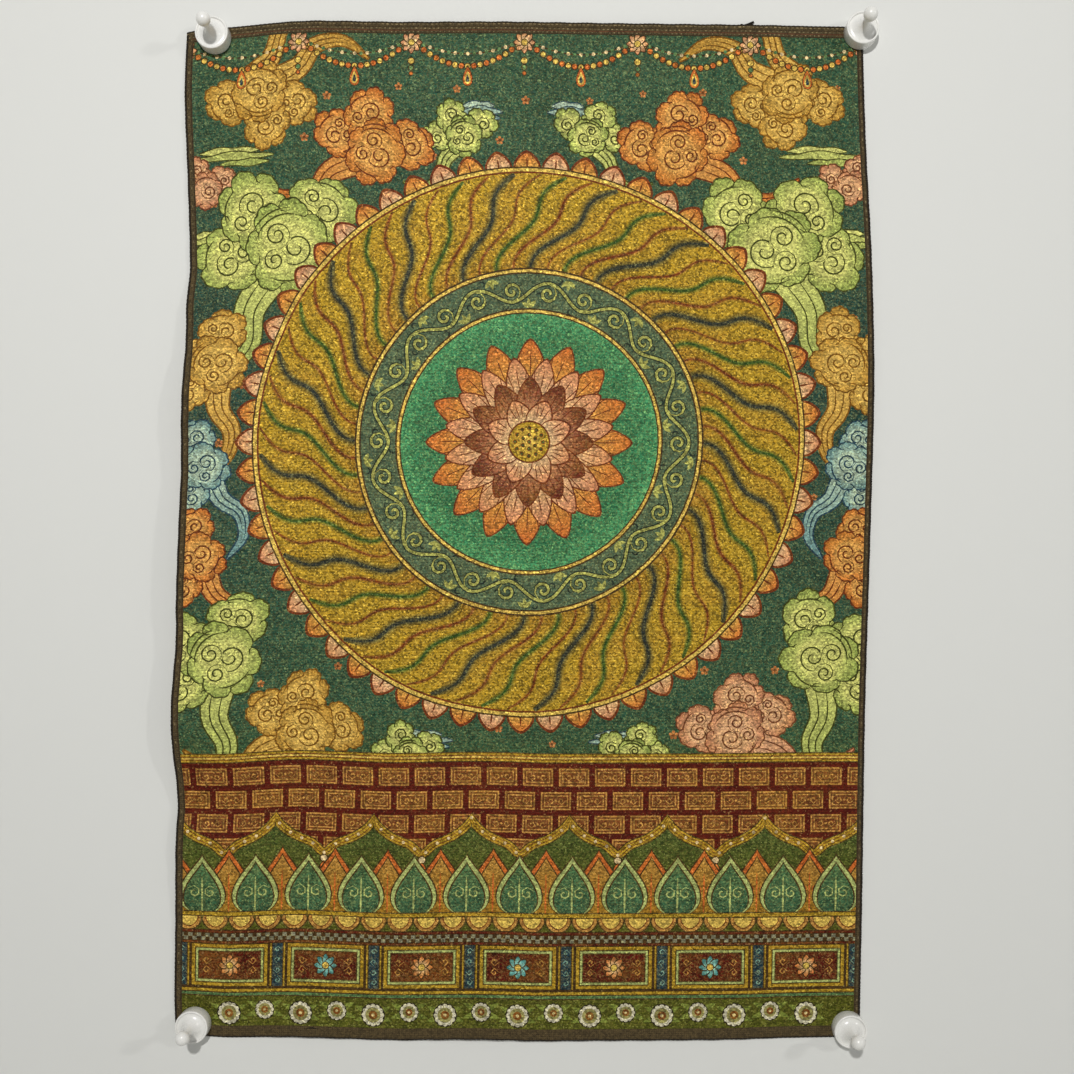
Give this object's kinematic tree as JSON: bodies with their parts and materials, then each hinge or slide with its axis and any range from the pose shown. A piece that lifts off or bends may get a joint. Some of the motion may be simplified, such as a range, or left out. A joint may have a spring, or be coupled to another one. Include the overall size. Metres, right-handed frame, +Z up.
{
  "type": "woven thangka wall hanging with its wall magnets",
  "caption": "Woven metallic brocade wall hanging with a narrow serged border, held to a wall by a knobbed magnet at each corner.",
  "frame": {"origin": "middle of the cloth's top edge, on the plane of the wall behind it", "axes": "+Z up, +X to the right as seen from the front, +Y into the wall; the woven face looks along -Y"},
  "size_m": [0.6245, 0.0396, 0.9129],
  "materials": {
    "brocade": "metallic-thread jacquard weave with a fine glitter",
    "white_plastic": "glossy moulded white plastic"
  },
  "bodies": {
    "root": {"woven_panel": "brocade", "magnet_top_left": "white_plastic", "magnet_top_right": "white_plastic", "magnet_bottom_left": "white_plastic", "magnet_bottom_right": "white_plastic"}
  },
  "joints": []
}
